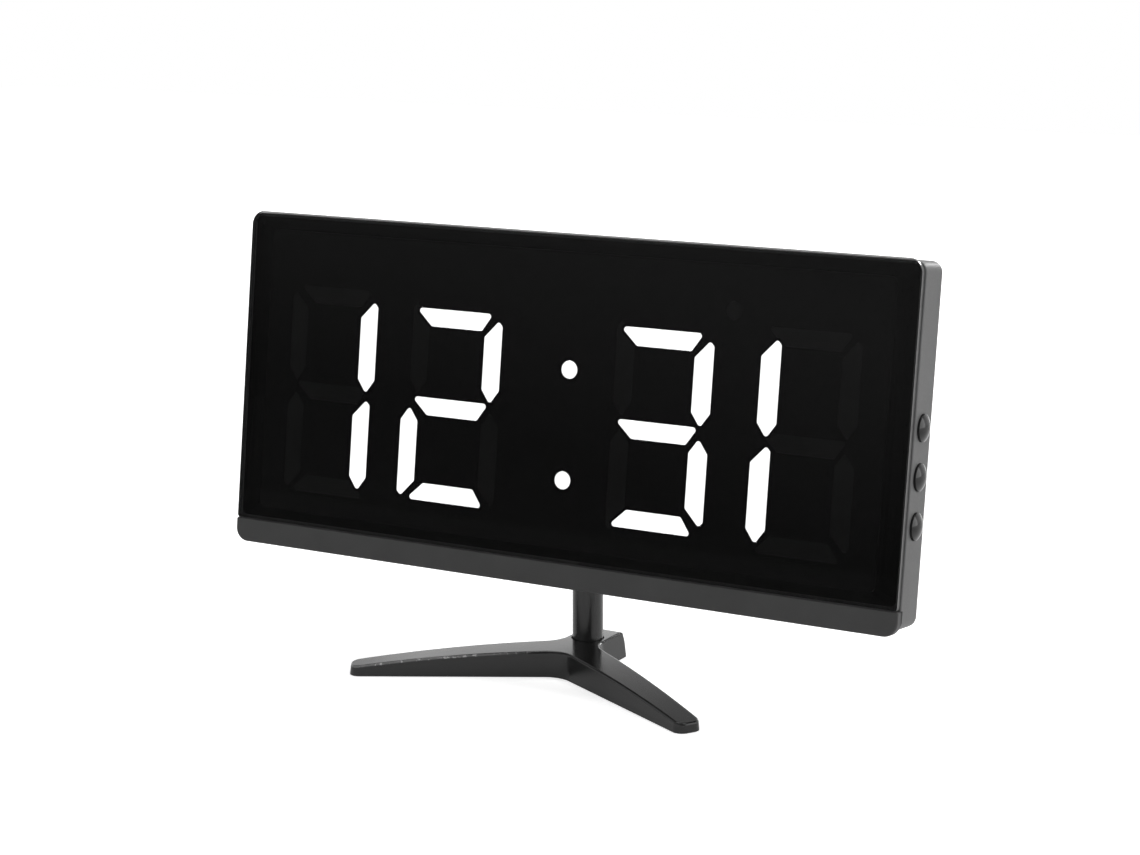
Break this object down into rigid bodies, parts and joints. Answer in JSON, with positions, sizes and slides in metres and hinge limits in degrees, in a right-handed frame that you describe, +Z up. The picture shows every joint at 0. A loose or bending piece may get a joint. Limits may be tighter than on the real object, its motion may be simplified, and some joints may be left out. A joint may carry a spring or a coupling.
{
  "type": "digital desk clock",
  "caption": "Slim digital desk clock: a leaning black LED display panel with side buttons, on a tilt hinge, a round swivelling post and a splayed foot.",
  "frame": {"origin": "on the table, under the middle of the clock's bounding box", "axes": "+X to the right across the display, +Y from the display towards the back, +Z up"},
  "size_m": [0.1828, 0.0482, 0.1085],
  "materials": {
    "case": "fine satin moulded",
    "chin": "satin",
    "lens": "polished smoked",
    "film": "matt black",
    "reflector": "matt white",
    "lit": "translucent, lit from behind",
    "unlit": "translucent, unlit",
    "led": "matt",
    "board": "solder mask",
    "chip": "matt",
    "bare_metal": "bright",
    "screw": "blackened",
    "cover": "fine spark texture",
    "bracket": "satin black",
    "washer": "plain nylon",
    "button": "semi-gloss",
    "post": "semi-gloss black",
    "foot": "semi-gloss black",
    "pad": "matt"
  },
  "bodies": {
    "foot": {"foot_casting": "foot", "foot_pads": "pad", "post_bush": "washer"},
    "post": {"post_tube": "post", "post_head": "post", "post_foot": "bare_metal", "post_screw": "screw", "spring_washer": "bare_metal", "keeper_washer": "bare_metal"},
    "head": {"case_frame": "case", "chin_bar": "chin", "front_lens": "lens", "lens_tape": "film", "display_mask": "film", "reflector_block": "reflector", "colon_lit": "lit", "segments_unlit": "unlit", "digit_1_lit": "lit", "digit_2_lit": "lit", "digit_3_lit": "lit", "digit_4_lit": "lit", "led_chips": "led", "circuit_board": "board", "board_screws": "screw", "controller_chip": "chip", "driver_chip": "chip", "clock_crystal": "bare_metal", "buzzer": "chip", "capacitors": "bare_metal", "resistors": "chip", "switch_bodies": "chip", "power_socket": "bare_metal", "battery_holder": "chip", "battery_contact": "bare_metal", "coin_cell": "bare_metal", "rear_cover": "cover", "case_screws": "screw", "tilt_bracket": "bracket", "bracket_screws": "screw", "friction_washers": "washer", "hinge_bolt": "screw", "hinge_nut": "screw"},
    "down_button": {"down_button": "button", "down_plunger": "washer"},
    "up_button": {"up_button": "button", "up_plunger": "washer"},
    "set_button": {"set_button": "button", "set_plunger": "washer"},
    "battery_cap": {"battery_cap": "cover"}
  },
  "joints": [
    {"name": "post_swivel", "type": "hinge", "parent": "foot", "child": "post", "pos_m": [0, 0.01336, 0.004], "axis": [0, 0, 1], "range_deg": [-90, 90]},
    {"name": "tilt_hinge", "type": "hinge", "parent": "post", "child": "head", "pos_m": [0, 0.01336, 0.06], "axis": [-1, 0, 0], "range_deg": [-7, 20]},
    {"name": "down_button_press", "type": "slide", "parent": "head", "child": "down_button", "axis": [-1, 0, 0], "range_m": [0, 0.0004], "stiffness_N_per_m": 1500, "springref_m": -0.0003},
    {"name": "up_button_press", "type": "slide", "parent": "head", "child": "up_button", "axis": [-1, 0, 0], "range_m": [0, 0.0004], "stiffness_N_per_m": 1500, "springref_m": -0.0003},
    {"name": "set_button_press", "type": "slide", "parent": "head", "child": "set_button", "axis": [-1, 0, 0], "range_m": [0, 0.0004], "stiffness_N_per_m": 1500, "springref_m": -0.0003},
    {"name": "battery_cap_turn", "type": "hinge", "parent": "head", "child": "battery_cap", "pos_m": [-0.0481, 0.007, 0.05646], "axis": [0, 0.9919, -0.1271], "range_deg": [0, 45]}
  ]
}
